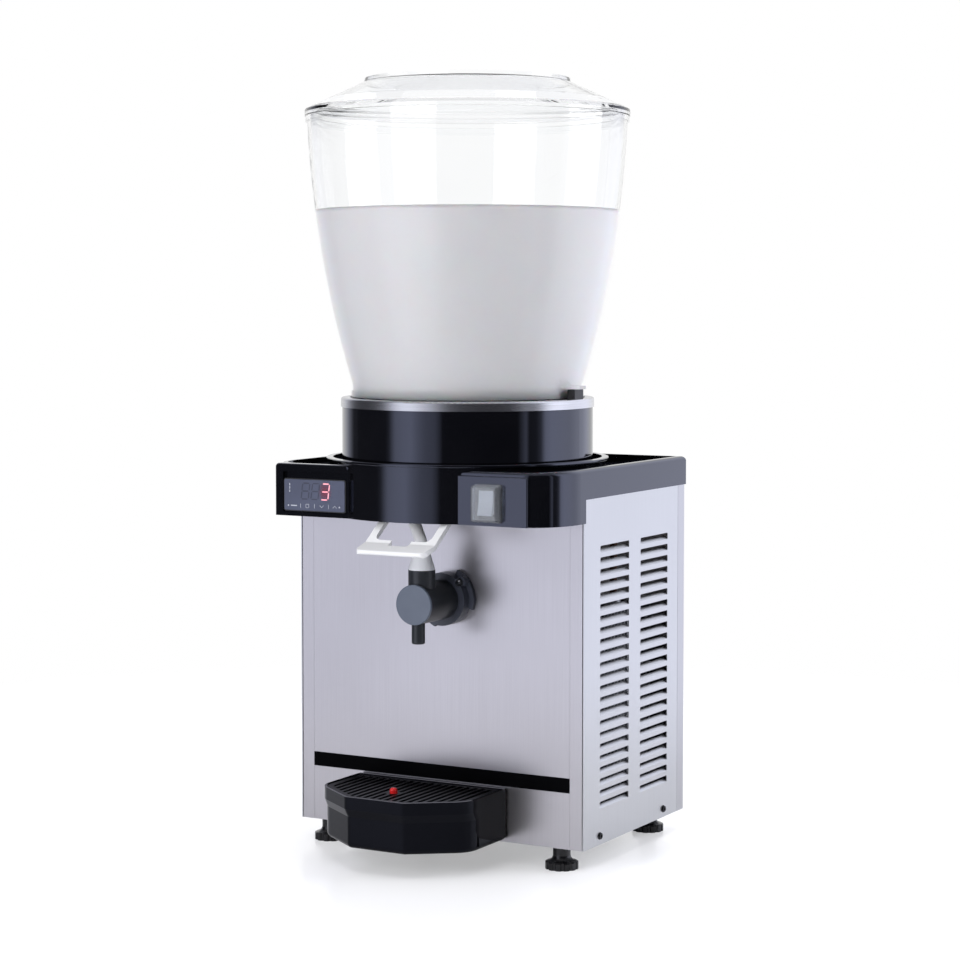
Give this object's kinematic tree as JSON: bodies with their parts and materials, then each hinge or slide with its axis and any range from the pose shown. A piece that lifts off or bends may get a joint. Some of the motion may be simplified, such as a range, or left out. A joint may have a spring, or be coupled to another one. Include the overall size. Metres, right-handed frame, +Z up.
{
  "type": "ayran dispenser",
  "caption": "Chilled countertop drink dispenser with a clear lidded bowl, stainless cabinet with louvred sides, foaming tap with a lever and a drip tray.",
  "frame": {"origin": "on the floor, under the bowl's axis, in the middle of the overall box", "axes": "+Z up, -Y to the front with the tap and drip tray, +X to the viewer's right from the front"},
  "size_m": [0.344, 0.36, 0.8098],
  "materials": {
    "stainless_front": "brushed",
    "stainless_side": "brushed",
    "galvanised": "satin",
    "strip_black": "gloss",
    "gloss_black": "gloss",
    "matte_black": "matte",
    "stainless_base": "brushed",
    "clear": "clear",
    "splash_clear": "clear",
    "slate": "satin",
    "slate_grey": "satin",
    "milky": "translucent",
    "silicone": "satin",
    "rubber_black": "matte",
    "bright_steel": "polished",
    "lever_white": "gloss",
    "rocker_grey": "gloss",
    "display_face": "gloss",
    "float_red": "gloss",
    "copper": "satin",
    "fin_aluminium": "satin",
    "motor_black": "satin"
  },
  "bodies": {
    "cabinet": {"front_panel": "stainless_front", "front_post_left": "stainless_front", "front_post_right": "stainless_front", "left_side_panel": "stainless_side", "right_side_panel": "stainless_side", "rear_panel": "stainless_side", "base_pan": "galvanised", "tray_bracket": "galvanised", "lever_bracket": "galvanised", "terminal_box": "galvanised", "front_strip": "strip_black", "top_cover": "gloss_black", "bowl_collar": "gloss_black", "switch_body": "matte_black", "thermostat_body": "matte_black", "bowl_stops": "matte_black", "fan_shroud": "matte_black", "cable_gland": "matte_black", "evaporator_base": "stainless_base", "switch_cover": "splash_clear", "whipper_chamber": "slate", "whipper_mount": "slate", "whipper_cap": "slate_grey", "inlet_funnel": "milky", "pinch_tube": "silicone", "bowl_gasket": "rubber_black", "shaft_seal": "rubber_black", "compressor_grommets": "rubber_black", "panel_screws": "bright_steel", "mount_screws": "bright_steel", "foot_nuts": "bright_steel", "lever_pin": "bright_steel", "lever_spring": "bright_steel", "outlet_pipe": "bright_steel", "thermostat_face": "display_face", "evaporator_coil": "copper", "refrigerant_pipes": "copper", "filter_drier": "copper", "condenser": "fin_aluminium", "compressor": "motor_black", "gear_motor": "motor_black", "whipper_motor": "motor_black", "fan_motor": "motor_black"},
    "bowl": {"bowl": "clear"},
    "lid": {"lid": "clear"},
    "stirrer": {"agitator": "milky", "agitator_shaft": "bright_steel"},
    "whipper": {"whipper_wheel": "slate"},
    "lever": {"lever": "lever_white"},
    "rocker": {"switch_rocker": "rocker_grey"},
    "tray": {"drip_tray": "gloss_black"},
    "grille": {"drip_grille": "gloss_black"},
    "float": {"drip_float": "float_red"},
    "fan": {"fan_blade": "matte_black"},
    "foot_fl": {"foot_front_left": "matte_black"},
    "foot_fr": {"foot_front_right": "matte_black"},
    "foot_rl": {"foot_rear_left": "matte_black"},
    "foot_rr": {"foot_rear_right": "matte_black"}
  },
  "joints": [
    {"name": "bowl_lift", "type": "slide", "parent": "cabinet", "child": "bowl", "axis": [0, 0, 1], "range_m": [0, 0.3]},
    {"name": "lid_lift", "type": "slide", "parent": "bowl", "child": "lid", "axis": [0, 0, 1], "range_m": [0, 0.12]},
    {"name": "lever_press", "type": "hinge", "parent": "cabinet", "child": "lever", "pos_m": [0.012, -0.09, 0.3816], "axis": [1, 0, 0], "range_deg": [0, 12], "stiffness_Nm_per_rad": 1.2, "springref_deg": -17.19, "deforming": ["lever_spring"]},
    {"name": "rocker_tilt", "type": "hinge", "parent": "cabinet", "child": "rocker", "pos_m": [0.099, -0.133, 0.377], "axis": [1, 0, 0], "range_deg": [0, 16]},
    {"name": "tray_slide", "type": "slide", "parent": "cabinet", "child": "tray", "axis": [0, -1, 0], "range_m": [0, 0.1]},
    {"name": "grille_lift", "type": "slide", "parent": "tray", "child": "grille", "axis": [0, 0, 1], "range_m": [0, 0.04]},
    {"name": "float_rise", "type": "slide", "parent": "tray", "child": "float", "axis": [0, 0, 1], "range_m": [0, 0.01]},
    {"name": "stirrer_spin", "type": "hinge", "parent": "cabinet", "child": "stirrer", "pos_m": [0, 0, 0.48], "axis": [0, 0, 1], "continuous": true},
    {"name": "whipper_spin", "type": "hinge", "parent": "cabinet", "child": "whipper", "pos_m": [0.012, -0.09, 0.2703], "axis": [0, 1, 0], "continuous": true},
    {"name": "fan_spin", "type": "hinge", "parent": "cabinet", "child": "fan", "pos_m": [0.097, 0.0638, 0.1502], "axis": [1, 0, 0], "continuous": true},
    {"name": "foot_screw_fl", "type": "hinge", "parent": "cabinet", "child": "foot_fl", "pos_m": [-0.14, -0.052, 0.011], "axis": [0, 0, 1], "continuous": true},
    {"name": "foot_screw_fr", "type": "hinge", "parent": "cabinet", "child": "foot_fr", "pos_m": [0.14, -0.052, 0.011], "axis": [0, 0, 1], "continuous": true},
    {"name": "foot_screw_rl", "type": "hinge", "parent": "cabinet", "child": "foot_rl", "pos_m": [-0.14, 0.152, 0.011], "axis": [0, 0, 1], "continuous": true},
    {"name": "foot_screw_rr", "type": "hinge", "parent": "cabinet", "child": "foot_rr", "pos_m": [0.14, 0.152, 0.011], "axis": [0, 0, 1], "continuous": true}
  ]
}
